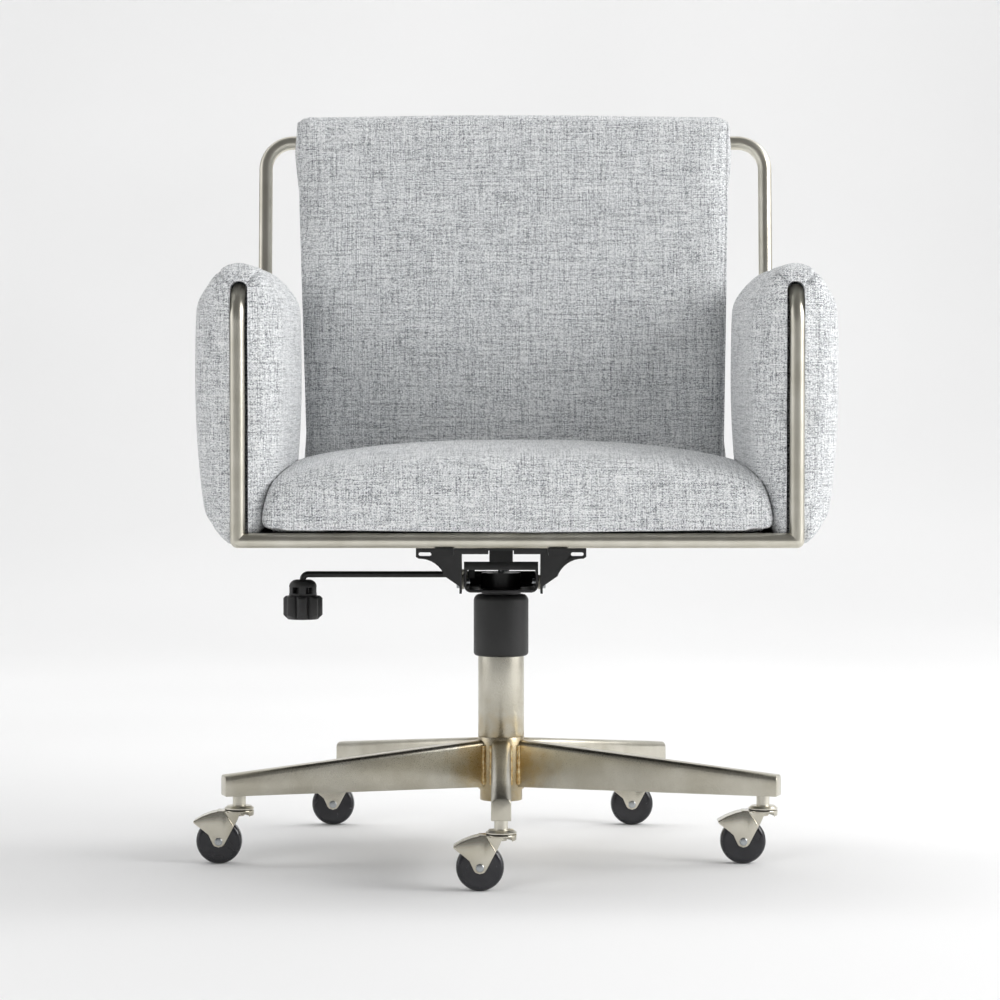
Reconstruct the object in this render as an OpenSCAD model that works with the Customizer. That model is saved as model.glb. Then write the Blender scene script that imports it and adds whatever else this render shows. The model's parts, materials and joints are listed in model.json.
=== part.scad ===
// Swivel office chair: upholstered seat, back and arm pads on a bent-tube frame, carried by a
// tilting seat plate, a gas lift and a welded five-arm base on hooded casters.
// Millimetres. +Z is up, the floor is z = 0, the lift axis is the Z axis and the sitter faces -Y.

/* [Casters] */
// Diameter of each caster wheel
wheel_d = 50; // [40:1:60]
// Width of each caster wheel across its tread
wheel_w = 20; // [16:1:24]
// Distance the wheel trails behind its stem
caster_trail = 22; // [18:1:26]
// Diameter of the round race plate under each stem
race_d = 32; // [28:1:38]
// Diameter of the stem pressed up into an arm
stem_d = 11; // [8:0.5:13]

/* [Base] */
// Distance from the lift axis to each caster stem
stem_radius = 302; // [250:1:360]
// Length of an arm beyond its caster stem
arm_overhang = 18; // [15:1:30]
// Width of an arm
arm_w = 21; // [18:0.5:28]
// Height of an arm where it meets the hub
arm_root_h = 56; // [40:1:70]
// Height of an arm at its outer end
arm_tip_h = 23; // [18:1:34]
// Wall of the arm's box section
arm_wall = 2; // [1.5:0.1:3]
// Radius of a weld bead between an arm and the hub
weld_r = 2.6; // [1.5:0.1:4]

/* [Gas lift] */
// Diameter of the upright column tube
column_d = 51.4; // [46:0.2:60]
// Wall of the column tube and of the hub socket
column_wall = 2; // [1.5:0.1:3]
// Diameter of the gas cylinder
cylinder_d = 28; // [26:0.5:32]
// Diameter of the piston rod
piston_rod_d = 10; // [8:0.5:12]
// Top of the column tube above the floor
column_top = 268; // [250:1:280]
// Travel of the lift
lift_travel = 100; // [60:5:110]
// Length of the black sleeve over the column
sleeve_len = 69; // [50:1:76]
// Distance the sleeve's outside stands out from the column tube
sleeve_over = 5; // [4.4:0.1:10]

/* [Mechanism] */
// Width of the pan
pan_w = 82; // [74:1:90]
// Length of the pan, front to back
pan_len = 116; // [110:1:130]
// Outer diameter of the socket that takes the gas cylinder
socket_d = 44; // [38:1:50]
// Sheet thickness of the pan
pan_t = 2.5; // [2:0.1:4]
// Distance of the tilt pivot ahead of the lift axis
pivot_ahead = 45; // [38:1:48]
// Width of the seat plate across its wings
plate_w = 188; // [170:1:200]
// Length of the seat plate, front to back
plate_len = 124; // [122:1:150]
// Sheet thickness of the seat plate
plate_t = 3.5; // [2.5:0.1:5]
// Diameter of the lever rod
rod_d = 7; // [6:0.5:8]
// Distance from the lift axis to the lever's knob
lever_reach = 222; // [180:1:235]
// Diameter of the lobed hand wheel on the lever
knob_d = 44; // [36:1:50]

/* [Frame] */
// Distance the seat frame sits to the right of the lift axis
seat_shift = 17; // [0:1:20]
// Diameter of the frame tube
tube_d = 16; // [14:0.5:18]
// Wall of the frame tube
tube_wall = 1.5; // [1:0.1:2.5]
// Width between the centrelines of the two side frames
frame_w = 590; // [540:1:640]
// Depth from the front posts to the feet of the back hoop, centre to centre
frame_depth = 425; // [400:1:470]
// Distance of the front posts ahead of the lift axis
front_reach = 235; // [220:1:250]
// Underside of the seat frame above the floor
frame_z = 353.2; // [353.2:1:380]
// Height of the arm rail's centreline above the seat frame's centreline
arm_rise = 264; // [220:1:290]
// Height of the back hoop above the seat frame, measured along its lean
hoop_rise = 452; // [400:1:500]
// Centreline radius of the frame bends
bend_r = 32; // [24:1:40]
// Lean of the back hoop from upright, in degrees
lean = 8; // [4:0.5:12]

/* [Upholstery] */
// Width of the seat cushion
seat_w = 550; // [500:1:552]
// Height of the seat cushion at the crown
seat_h = 92; // [80:1:110]
// Width of the back cushion
back_w = 498; // [450:1:512]
// Thickness of the back cushion
back_t = 82; // [70:1:95]
// Height of the back cushion above the centre of the hoop's top tube
back_over = 31; // [20:1:40]
// Thickness of an arm pad at its fullest
pad_t = 114; // [90:1:118]
// Height of an arm pad above the arm rail's centreline
pad_over = 28; // [20:1:34]
// Clearance between upholstery and the steel or cushion beside it
soft_gap = 0.4; // [0.3:0.1:2]

/* [Hidden] */

$fn = 64;
nudge = 0.01;
run_gap = 0.05;

arm_names_angles = [-90, -18, 54, 126, 198];

wheel_r = wheel_d / 2;
wheel_gap = 0.6;
fork_t = 1.6;
fork_clear = 5.6;
fork_z = wheel_d + fork_clear;
fork_plate_t = 4.2;
race_gap = 0.2;
race_t = 3.6;
race_z = fork_z + fork_plate_t + race_gap;
stem_neck_d = 14.4;
stem_neck_h = 11;
kingpin_r = 4;
kingpin_head_r = 6.5;
kingpin_head_t = 3.2;
stem_depth = 18;
axle_r = 3;
axle_head_r = 4.6;
axle_head_t = 1.4;
boss_r = 6.8;
visor_x = 28.4;
visor_z = 20.4;

arm_z = race_z + race_t + stem_neck_h;
arm_tip_r = stem_radius + arm_overhang;
arm_top_z = arm_z + arm_root_h;
arm_tip_round = 5;
arm_solid = stem_d + 24;

column_r = column_d / 2;
hub_skirt = 3;
hub_z = arm_z - hub_skirt;
column_foot = 59;
column_bore_r = column_r - 2 * column_wall;
column_foot_t = 3;
cylinder_r = cylinder_d / 2;
cylinder_wall = 1.5;
rod_r = piston_rod_d / 2;
rod_tip_r = rod_r - 1;
bearing_r = 13;
bearing_h = 5;
bumper_h = 10;
bumper_gap = 0.2;
cylinder_foot = column_foot + column_foot_t + bearing_h + bumper_h + bumper_gap;
cylinder_cap = 4;
cylinder_crown = 18;
cylinder_hold = 14.8;
bush_len = column_top - cylinder_foot - lift_travel - cylinder_hold;
bush_flange_r = column_r - 0.7;
bush_flange_t = 3;
clip_r = 9;
clip_t = 1.6;
clip_slot = 3;
rod_end = 3;
piston_h = 10;
piston_spare = 4.8;
sleeve_d = column_d + 2 * sleeve_over;

pan_z = 295;
pan_front_h = 34;
pan_rear_h = 17;
pan_round = 8;
socket_top = 314;
sleeve_top = 290;
sleeve_lip = 0.6;
sleeve_wall = 2.6;
cylinder_top = socket_top;
pin_r = 3.5;
pin_stand = 5.7;
pin_sunk = 8;
finger_gap = 0.3;
finger_z = socket_top + pin_stand + finger_gap;
finger_t = 3;
finger_w = 14;
rod_z = 312;
rod_bend = 6;
rod_drop = 36;
knob_top = rod_z - rod_bend;
collar_h = 18;
collar_r = 15.5;
knob_wheel_h = 26;
lever_pivot_x = -pan_w / 2;
pivot_z = 306;
pivot_r = 4;
pivot_stub = 4;
pivot_head_r = 7;
bush_r = 8;
bush_t = 2.3;
cheek_gap = 0.2;
cheek_x = pan_w / 2 + bush_t + cheek_gap;
cheek_t = 2.5;
cheek_len = 40;
strap_h = 9;
strap_len = 6;
stop_w = 26;
stop_gap = 1;
crossbar_h = 8;
crossbar_w = 20;
crossbar_x = 60;
plate_z = frame_z - crossbar_h - plate_t;
web_h = 9;
wing_drop = 32;
bolt_r = 3;
bolt_head_r = 5.5;
bolt_y = 48;
bolt_slot = 14;
wing_slot_w = 4;
screw_r = 2.5;
screw_head_r = 5;
screw_grip = 11;
screw_y = [-160, 140];
head_t = 3;
flange_h = 4;
lever_bush_t = 2.2;
lever_bush_half = 3.5;
lever_clear = 0.5;
cross_pin_r = 1.5;
cross_pin_half = rod_d / 2 + lever_bush_t - 0.2;
spring_y = 39;
spring_wire = 3;
spring_mean_r = 8.5;
spring_turns = 5;

tube_r = tube_d / 2;
tube_bore_r = tube_r - tube_wall;
rail_z = frame_z + tube_r;
half_w = frame_w / 2;
post_y = -front_reach;
foot_y = frame_depth - front_reach;
arm_rail_z = rail_z + arm_rise;
board_below = 0.5;
board_t = tube_d - board_below;
board_z = frame_z;
board_gap = 1;
seat_z = rail_z + tube_r + soft_gap;
seat_front = post_y - tube_r - 4;
seat_corner = 30;
back_behind = 20;
back_lift = tube_r + 4;
back_board_t = 12;
back_board_w = 420;
back_corner = 18;
pad_inner = 19;
pad_under = tube_r + 0.7;
pad_bulge_r = 1080;
pad_full_y = -45;
slot_gap = 0.3;
cope_r = tube_r + 0.05;
pad_split_z = seat_z + seat_h + 2;
crossbar_back = foot_y + tube_r;
bracket_x = 120;
bracket_w = 30;
bracket_t = 3;
bracket_h = 38;
bracket_bolt_z = 28;

nickel = [0.72, 0.70, 0.66];
steel = [0.62, 0.62, 0.63];
black = [0.14, 0.14, 0.15];
gold = [0.70, 0.58, 0.38];
grey_rubber = [0.22, 0.22, 0.24];
cloth = [0.78, 0.79, 0.80];
plywood = [0.76, 0.62, 0.42];
nylon = [0.90, 0.89, 0.84];

// Points along an arc about a centre, from one angle to another.
function arc(centre, r, from, to, steps) =
    [for (i = [0 : steps]) let (a = from + (to - from) * i / steps)
        centre + r * [cos(a), sin(a)]];

module at_arm(k) { rotate([0, 0, arm_names_angles[k]]) children(); }

// Places a caster piece at arm k's stem. Every caster trails towards -X at rest.
module at_stem(k) {
    a = arm_names_angles[k];
    translate([stem_radius * cos(a), stem_radius * sin(a), 0]) children();
}

// A cylinder along X, from x = from to x = to.
module x_rod(from, to, r, y, z) {
    translate([from, y, z]) rotate([0, 90, 0]) cylinder(r = r, h = to - from);
}

// A cylinder along Y, from y = from to y = to.
module y_rod(from, to, r, x, z) {
    translate([x, from, z]) rotate([-90, 0, 0]) cylinder(r = r, h = to - from);
}

// A flat outline drawn in X and Z, thick along Y and centred on y = 0.
module upright_sheet(t) { rotate([90, 0, 0]) linear_extrude(t, center = true) children(); }

// A rectangle whose four corners are round, one radius for the top pair and one for the bottom.
module round_rect(x0, x1, z0, z1, r_bottom, r_top) {
    translate([x0 + r_bottom, z0]) square([x1 - x0 - 2 * r_bottom, z1 - z0]);
    translate([x0, z0 + r_bottom]) square([x1 - x0, z1 - z0 - r_bottom - r_top]);
    translate([x0 + r_top, z0 + r_bottom]) square([x1 - x0 - 2 * r_top, z1 - z0 - r_bottom]);
    for (x = [x0 + r_bottom, x1 - r_bottom]) translate([x, z0 + r_bottom]) circle(r_bottom);
    for (x = [x0 + r_top, x1 - r_top]) translate([x, z1 - r_top]) circle(r_top);
}

// ---------------------------------------------------------------- base and casters

module base_hub() {
    color(nickel) translate([0, 0, hub_z]) difference() {
        cylinder(r = column_r, h = arm_top_z - hub_z);
        translate([0, 0, -nudge])
            cylinder(r = column_r - column_wall, h = arm_top_z - hub_z + 2 * nudge);
    }
}

// Side outline of an arm: level underside, sloping top, small round at the outer top corner.
module arm_outline(inset) {
    tip = arm_tip_r - inset;
    top = arm_z + arm_tip_h - inset;
    polygon(concat(
        [[0, arm_z + inset], [tip, arm_z + inset]],
        arc([tip - arm_tip_round, top - arm_tip_round], arm_tip_round, 0, 80, 5),
        [[0, arm_top_z - inset]]));
}

module base_arm() {
    color(nickel) difference() {
        upright_sheet(arm_w) arm_outline(0);
        intersection() {
            upright_sheet(arm_w - 2 * arm_wall) arm_outline(arm_wall);
            translate([0, -arm_w, 0]) cube([arm_tip_r - arm_solid, 2 * arm_w, arm_top_z]);
        }
        cylinder(r = column_r, h = arm_top_z + nudge);
        translate([stem_radius, 0, arm_z - nudge]) cylinder(r = stem_d / 2, h = stem_depth + nudge);
    }
}

module hub_welds() {
    bead_x = sqrt(pow(column_r, 2) - pow(arm_w / 2, 2));
    color(gold) for (k = [0 : 4], side = [-1, 1]) at_arm(k) difference() {
        translate([bead_x, side * arm_w / 2, arm_z])
            cylinder(r = weld_r, h = arm_root_h - 2 * weld_r, $fn = 24);
        cylinder(r = column_r, h = arm_top_z);
        translate([0, -arm_w / 2, 0]) cube([2 * column_r, arm_w, arm_top_z]);
    }
}

// Stem, neck, race plate and riveted kingpin of one caster, turned as one piece.
module caster_stems() {
    head_z = fork_z - race_gap - kingpin_head_t;
    color(nickel) for (k = [0 : 4]) at_stem(k) rotate_extrude() polygon([
        [0, head_z], [kingpin_head_r - 1, head_z], [kingpin_head_r, head_z + 1],
        [kingpin_head_r, head_z + kingpin_head_t], [kingpin_r, head_z + kingpin_head_t],
        [kingpin_r, race_z], [race_d / 2, race_z], [race_d / 2, race_z + race_t / 3],
        [race_d / 2 - 3, race_z + race_t], [stem_neck_d / 2, race_z + race_t],
        [stem_neck_d / 2, arm_z], [stem_d / 2, arm_z], [stem_d / 2, arm_z + stem_depth - 1],
        [stem_d / 2 - 1, arm_z + stem_depth], [0, arm_z + stem_depth]]);
}

// Side outline of a fork: race plate end, hood curving out to a pointed visor, and a cheek
// that narrows to a round boss about the axle.
module fork_cheek() {
    top = fork_z + fork_plate_t - wheel_r;
    difference() {
        translate([-caster_trail, wheel_r]) union() {
            circle(boss_r);
            polygon(concat(
                [[caster_trail + 9, top], [2, top]],
                arc([8, -24], top + 24.2, 100, 129, 6),
                [[-visor_x, visor_z], [-visor_x + 1, visor_z - 2.4], [-11, 7.5], [-6.2, -2.8],
                 [6.2, -2.8], [17, 15], [caster_trail + 1, 27.5]]));
        }
        translate([-caster_trail, wheel_r]) circle(axle_r);
    }
}

// The visible band of the hood, between the two cheeks: the cheek outline without its inside.
module fork_band() {
    top = fork_z + fork_plate_t - wheel_r;
    translate([-caster_trail, wheel_r]) polygon(concat(
        [[caster_trail, top], [2, top]],
        arc([8, -24], top + 24.2, 100, 129, 6),
        [[-visor_x, visor_z], [-visor_x + 1.6, visor_z - 0.4]],
        arc([8, -24], top + 22.6, 128, 100, 6),
        [[2, top - fork_plate_t / 2], [2, top - fork_plate_t], [caster_trail, top - fork_plate_t]]));
}

module caster_fork() {
    inner = wheel_w + 2 * wheel_gap;
    color(nickel) difference() {
        union() {
            for (side = [-1, 1]) translate([0, side * (inner + fork_t) / 2, 0])
                upright_sheet(fork_t) fork_cheek();
            upright_sheet(inner) fork_band();
            translate([0, 0, fork_z]) cylinder(d = race_d + 1, h = fork_plate_t);
        }
        translate([0, 0, fork_z - nudge])
            cylinder(r = kingpin_r + run_gap, h = fork_plate_t + 2 * nudge);
    }
}

module caster_axle() {
    outer = wheel_w / 2 + wheel_gap + fork_t;
    color(steel) translate([-caster_trail, 0, wheel_r]) rotate([90, 0, 0]) {
        cylinder(r = axle_r, h = 2 * outer, center = true);
        for (side = [0, 1]) mirror([0, 0, side]) translate([0, 0, outer])
            cylinder(r1 = axle_head_r, r2 = axle_head_r - 1, h = axle_head_t);
    }
}

module caster_wheel() {
    half = wheel_w / 2;
    shoulder = wheel_w / 3;
    color(grey_rubber) translate([-caster_trail, 0, wheel_r]) rotate([90, 0, 0]) rotate_extrude()
        difference() {
            union() {
                translate([axle_r + run_gap, -half]) square([wheel_r - shoulder - axle_r, wheel_w]);
                translate([axle_r + run_gap, -half + shoulder])
                    square([wheel_r - axle_r - run_gap, wheel_w - 2 * shoulder]);
                for (side = [-1, 1])
                    translate([wheel_r - shoulder, side * (half - shoulder)]) circle(shoulder);
            }
            for (side = [-1, 1]) translate([wheel_r * 0.62, side * (half + 0.4)]) circle(1.6);
        }
}

// ---------------------------------------------------------------- gas lift

// Column tube: its lower end is narrower and stands in the hub, its upper part stands on it.
module column_tube() {
    color(nickel) difference() {
        union() {
            translate([0, 0, column_foot])
                cylinder(r = column_r - column_wall, h = arm_top_z - column_foot + nudge);
            translate([0, 0, arm_top_z]) cylinder(r = column_r, h = column_top - arm_top_z);
        }
        translate([0, 0, column_foot + column_foot_t])
            cylinder(r = column_bore_r, h = column_top - column_foot);
        translate([0, 0, column_foot - nudge])
            cylinder(r = rod_tip_r + run_gap, h = column_foot_t + 2 * nudge);
    }
}

module guide_bush() {
    color(black) difference() {
        union() {
            translate([0, 0, column_top - bush_len]) cylinder(r = column_bore_r, h = bush_len);
            translate([0, 0, column_top]) cylinder(r = bush_flange_r, h = bush_flange_t);
        }
        translate([0, 0, column_top - bush_len - nudge])
            cylinder(r = cylinder_r + run_gap, h = bush_len + bush_flange_t + 2 * nudge);
    }
}

module thrust_bearing() {
    color(steel) translate([0, 0, column_foot + column_foot_t]) difference() {
        cylinder(r = bearing_r, h = bearing_h);
        translate([0, 0, -nudge]) cylinder(r = rod_tip_r + run_gap, h = bearing_h + 2 * nudge);
        translate([0, 0, bearing_h / 2]) rotate_extrude()
            translate([bearing_r, 0]) circle(bearing_h / 4);
    }
}

module lift_bumper() {
    color(grey_rubber) translate([0, 0, column_foot + column_foot_t + bearing_h]) difference() {
        cylinder(r = bearing_r, h = bumper_h);
        translate([0, 0, -nudge]) cylinder(r = rod_r + 1, h = bumper_h + 2 * nudge);
    }
}

module piston_rod() {
    shoulder = column_foot + column_foot_t + bearing_h + run_gap;
    crown = cylinder_foot + cylinder_cap + lift_travel + piston_h + piston_spare;
    color(steel) rotate_extrude() polygon([
        [0, column_foot - clip_t - rod_end], [rod_tip_r, column_foot - clip_t - rod_end],
        [rod_tip_r, shoulder], [rod_r, shoulder], [rod_r, crown - piston_h],
        [cylinder_r - cylinder_wall - run_gap, crown - piston_h],
        [cylinder_r - cylinder_wall - run_gap, crown], [0, crown]]);
}

module retaining_clip() {
    color(steel) translate([0, 0, column_foot - clip_t - run_gap]) difference() {
        cylinder(r = clip_r, h = clip_t);
        translate([0, 0, -nudge]) cylinder(r = rod_tip_r, h = clip_t + 2 * nudge);
        translate([0, -clip_slot / 2, -nudge]) cube([clip_r + 1, clip_slot, clip_t + 2 * nudge]);
    }
}

module gas_cylinder() {
    bore_h = cylinder_top - cylinder_foot - cylinder_cap - cylinder_crown;
    color(black) difference() {
        translate([0, 0, cylinder_foot]) cylinder(r = cylinder_r, h = cylinder_top - cylinder_foot);
        translate([0, 0, cylinder_foot + cylinder_cap])
            cylinder(r = cylinder_r - cylinder_wall, h = bore_h);
        translate([0, 0, cylinder_foot - nudge])
            cylinder(r = rod_r + run_gap, h = cylinder_cap + 2 * nudge);
        translate([0, 0, cylinder_top - cylinder_crown - nudge])
            cylinder(r = pin_r + run_gap, h = cylinder_crown + 2 * nudge);
    }
}

module valve_pin() {
    color(steel) translate([0, 0, socket_top - pin_sunk])
        cylinder(r = pin_r, h = pin_stand + pin_sunk);
}

// Sleeve: round shoulders at the top, round lower lip drawn in to just clear the column.
module column_sleeve() {
    r = sleeve_d / 2;
    z0 = sleeve_top - sleeve_len;
    lip_r = column_r + sleeve_lip;
    top_round = 7;
    low_round = 4;
    inner_r = r - sleeve_wall;
    roof = sleeve_top - sleeve_wall;
    color(black) rotate_extrude() polygon(concat(
        [[lip_r, z0]],
        arc([r - low_round, z0 + low_round], low_round, -80, 0, 6),
        arc([r - top_round, sleeve_top - top_round], top_round, 0, 80, 8),
        [[socket_d / 2, sleeve_top], [cylinder_r, sleeve_top], [cylinder_r, roof],
         [inner_r - top_round, roof], [inner_r, roof - top_round], [inner_r, z0 + low_round],
         [lip_r, z0 + low_round / 2]]));
}

// ---------------------------------------------------------------- mechanism

module pan_profile(inset) {
    round_rect(-pan_w / 2 + inset, pan_w / 2 - inset, pan_z + inset, pan_z + pan_front_h + 2 * inset,
               pan_round - inset, 1);
}

module mechanism_pan() {
    half = pan_len / 2;
    color(black) difference() {
        union() {
            difference() {
                upright_sheet(pan_len) pan_profile(0);
                translate([0, -pan_t, 0]) upright_sheet(pan_len) pan_profile(pan_t);
            }
            translate([-pan_w / 2, -half, pan_z + pan_front_h - strap_h])
                cube([pan_w, strap_len, strap_h]);
        }
        translate([-pan_w, 0, 0]) rotate([90, 0, 90]) linear_extrude(2 * pan_w) polygon([
            [-half + strap_len, pan_z + pan_front_h], [half + 1, pan_z + pan_rear_h],
            [half + 1, pan_z + 2 * pan_front_h], [-half - 1, pan_z + 2 * pan_front_h],
            [-half - 1, pan_z + pan_front_h]]);
        translate([0, 0, pan_z - nudge]) cylinder(r = socket_d / 2, h = pan_front_h);
        x_rod(lever_pivot_x - 1, lever_pivot_x + pan_t + 1, rod_d / 2 + lever_bush_t, 0, rod_z);
        x_rod(-pan_w, pan_w, pivot_r, -pivot_ahead, pivot_z);
    }
}

module cylinder_socket() {
    color(black) translate([0, 0, sleeve_top]) difference() {
        cylinder(r = socket_d / 2, h = socket_top - sleeve_top);
        translate([0, 0, -nudge]) cylinder(r = cylinder_r, h = socket_top - sleeve_top + 2 * nudge);
    }
}

module tilt_pivot_bolts() {
    inner = pan_w / 2 - pan_t;
    outer = cheek_x + cheek_t + cheek_gap;
    color(steel) for (side = [-1, 1]) scale([side, 1, 1]) translate([0, -pivot_ahead, pivot_z])
        rotate([0, 90, 0]) {
            translate([0, 0, inner - pivot_stub]) cylinder(r = pivot_r, h = outer - inner + pivot_stub);
            translate([0, 0, outer]) cylinder(r = pivot_head_r, h = head_t);
        }
}

module tilt_bushes() {
    color(nylon) for (side = [-1, 1]) translate([side * (pan_w + bush_t) / 2, -pivot_ahead, pivot_z])
        rotate([0, 90, 0]) difference() {
            cylinder(r = bush_r, h = bush_t, center = true);
            cylinder(r = pivot_r, h = bush_t + 1, center = true);
        }
}

module tilt_stop() {
    low = pan_z + pan_front_h;
    color(grey_rubber) translate([-stop_w / 2, -pan_len / 2, low])
        cube([stop_w, strap_len, plate_z - low - cheek_gap]);
}

// Compression spring behind the socket: wire swept along a helix.
module tension_spring() {
    sides = 8;
    steps = 12 * spring_turns;
    low = pan_z + pan_t + spring_wire / 2;
    rise = plate_z - pan_z - pan_t - spring_wire - cheek_gap;
    pts = [for (i = [0 : steps], s = [0 : sides - 1])
        let (a = 360 * spring_turns * i / steps, b = 360 * s / sides,
             r = spring_mean_r + spring_wire / 2 * cos(b))
        [r * cos(a), spring_y + r * sin(a), low + rise * i / steps + spring_wire / 2 * sin(b)]];
    skin = [for (i = [0 : steps - 1], s = [0 : sides - 1])
        let (n = (s + 1) % sides)
        [i * sides + s, (i + 1) * sides + s, (i + 1) * sides + n, i * sides + n]];
    color(steel) polyhedron(pts, concat(skin,
        [[for (s = [0 : sides - 1]) s], [for (s = [sides - 1 : -1 : 0]) steps * sides + s]]));
}

module lever_bush() {
    color(nylon) difference() {
        x_rod(lever_pivot_x - lever_bush_half, lever_pivot_x + lever_bush_half,
              rod_d / 2 + lever_bush_t, 0, rod_z);
        x_rod(lever_pivot_x - pan_w, lever_pivot_x + pan_w, rod_d / 2 + lever_clear, 0, rod_z);
        y_rod(-pan_w, pan_w, cross_pin_r + run_gap, lever_pivot_x, rod_z);
    }
}

// Lever rod: straight from the pan, then bent down into the knob, with the cross pin that it
// rocks on in its bush.
module lever_rod() {
    r = rod_d / 2;
    bend = rod_bend;
    end_x = lever_pivot_x + pan_t + 2;
    color(black) {
        x_rod(-lever_reach + bend, end_x, r, 0, rod_z);
        y_rod(-cross_pin_half, cross_pin_half, cross_pin_r, lever_pivot_x, rod_z);
        translate([-lever_reach + bend, 0, rod_z - bend]) rotate([90, 0, 0])
            rotate([0, 0, 90]) rotate_extrude(angle = 90) translate([bend, 0]) circle(r);
        translate([-lever_reach, 0, rod_z - bend - rod_drop]) cylinder(r = r, h = rod_drop);
    }
}

module lever_finger() {
    x0 = lever_pivot_x + pan_t + 2;
    color(black) upright_sheet(finger_w) polygon([
        [x0, rod_z - 4], [x0 + 7, rod_z - 4], [x0 + 7, finger_z], [5, finger_z],
        [5, finger_z + finger_t], [x0, finger_z + finger_t]]);
}

// Collar: domed cup on the rod's end with windows round its side.
module knob_collar() {
    r = rod_d / 2;
    dome = 8;
    low = knob_top - collar_h;
    color(black) translate([-lever_reach, 0, 0]) difference() {
        rotate_extrude() polygon(concat(
            [[r, low], [collar_r, low]],
            arc([collar_r - dome, knob_top - dome], dome, 0, 90, 8),
            [[r, knob_top]]));
        translate([0, 0, low + 3]) for (i = [0 : 5]) rotate([0, 0, 60 * i + 60])
            translate([r + 3, -4, 0]) cube([collar_r, 8, collar_h - 11]);
    }
}

// Hand wheel: eight lobes about the rod's end, round below, bored for the rod's tip.
module knob_wheel() {
    high = knob_top - collar_h - race_gap;
    low = high - knob_wheel_h;
    lobe_r = knob_d * 0.15;
    core_r = knob_d / 2 - lobe_r;
    rim = 5;
    color(black) translate([-lever_reach, 0, 0]) difference() {
        intersection() {
            translate([0, 0, low]) linear_extrude(knob_wheel_h) {
                circle(core_r + 1);
                for (i = [0 : 7]) rotate(45 * i) translate([core_r, 0]) circle(lobe_r);
            }
            rotate_extrude() polygon([
                [0, low], [knob_d / 2 - rim, low], [knob_d / 2, low + rim],
                [knob_d / 2, high - rim / 2], [knob_d / 2 - rim / 2, high], [0, high]]);
        }
        translate([0, 0, rod_z - rod_bend - rod_drop - run_gap])
            cylinder(r = rod_d / 2 + run_gap, h = rod_drop);
    }
}

// ---------------------------------------------------------------- seat plate and seat board

// Front outline of the wings and gussets: level top, curved lower edges down to the cheeks.
module wing_outline(side) {
    x1 = plate_w / 2;
    x0 = cheek_x;
    drop = plate_z - wing_drop;
    scale([side, 1]) polygon(concat(
        [[x0, plate_z], [x1, plate_z], [x1, plate_z - web_h + 2], [x1 - 3, plate_z - web_h]],
        arc([x1 - 4, drop - 6.5], wing_drop - web_h + 6.5, 90, 160, 8),
        [[x0 + 2, drop - 8], [x0, drop - 8]]));
}

module slot(length, width) {
    square([length - width, width], center = true);
    for (side = [-1, 1]) translate([side * (length - width) / 2, 0]) circle(width / 2);
}

module seat_plate() {
    half = plate_len / 2;
    web_y = -half + plate_t / 2;
    color(black) difference() {
        union() {
            translate([-plate_w / 2, -half, plate_z]) cube([plate_w, plate_len, plate_t]);
            for (side = [-1, 1]) {
                translate([0, web_y, 0]) upright_sheet(plate_t) wing_outline(side);
                translate([side > 0 ? cheek_x : -cheek_x - cheek_t, -half, pivot_z - 12])
                    cube([cheek_t, cheek_len, plate_z - pivot_z + 12]);
            }
            for (y = [-half, half - plate_t])
                translate([-plate_w / 2, y, plate_z - flange_h]) cube([plate_w, plate_t, flange_h]);
        }
        translate([-stop_w / 2 - stop_gap, -half - 1, plate_z - flange_h - 1])
            cube([stop_w + 2 * stop_gap, plate_t + 2, flange_h + 1]);
        for (side = [-1, 1]) {
            translate([side * (plate_w / 2 - 10), web_y, plate_z - flange_h])
                upright_sheet(plate_t + 1) slot(bolt_slot, wing_slot_w);
            for (y = [-bolt_y, bolt_y]) translate([side * crossbar_x, y, plate_z - nudge])
                linear_extrude(plate_t + 2 * nudge) slot(bolt_slot, 2 * bolt_r);
        }
        x_rod(-plate_w, plate_w, pivot_r + run_gap, -pivot_ahead, pivot_z);
    }
}

module seat_bolts() {
    color(steel) for (x = [-crossbar_x, crossbar_x], y = [-bolt_y, bolt_y]) translate([x, y, 0]) {
        translate([0, 0, plate_z - flange_h]) cylinder(r = bolt_head_r, h = flange_h);
        translate([0, 0, plate_z - nudge]) cylinder(r = bolt_r, h = plate_t + crossbar_h + nudge);
    }
}

module seat_crossbars() {
    color(black) for (x = [-crossbar_x, crossbar_x]) difference() {
        translate([x - crossbar_w / 2, post_y - 4, frame_z - crossbar_h])
            cube([crossbar_w, crossbar_back - post_y + 4, crossbar_h]);
        for (y = [-bolt_y, bolt_y]) translate([x, y, 0]) cylinder(r = bolt_r, h = frame_z + 1);
        for (y = screw_y) translate([x, y, 0]) cylinder(r = screw_r, h = frame_z + 1);
    }
}

module board_screws() {
    color(steel) for (x = [-crossbar_x, crossbar_x], y = screw_y) translate([x, y, 0]) {
        translate([0, 0, frame_z - crossbar_h - head_t]) cylinder(r = screw_head_r, h = head_t);
        translate([0, 0, frame_z - crossbar_h - nudge])
            cylinder(r = screw_r, h = crossbar_h + screw_grip);
    }
}

module seat_board() {
    color(plywood) difference() {
        translate([seat_shift - seat_w / 2, post_y + tube_r + board_gap, board_z])
            cube([seat_w, frame_depth - 2 * tube_r - 2 * board_gap, board_t]);
        for (x = [-crossbar_x, crossbar_x], y = screw_y)
            translate([x, y, board_z - nudge]) cylinder(r = screw_r, h = screw_grip + nudge);
    }
}

// ---------------------------------------------------------------- tube frame

// Moves hoop geometry, drawn upright above its feet, to its leaning place.
module at_hoop() { translate([seat_shift, foot_y, rail_z]) rotate([-lean, 0, 0]) children(); }

// The lower end of a post, as the rails that are welded against it are coped to it.
module post_end(y) {
    sphere(cope_r);
    rotate([y > 0 ? -lean : 0, 0, 0]) cylinder(r = cope_r, h = 3 * tube_r);
}

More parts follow.
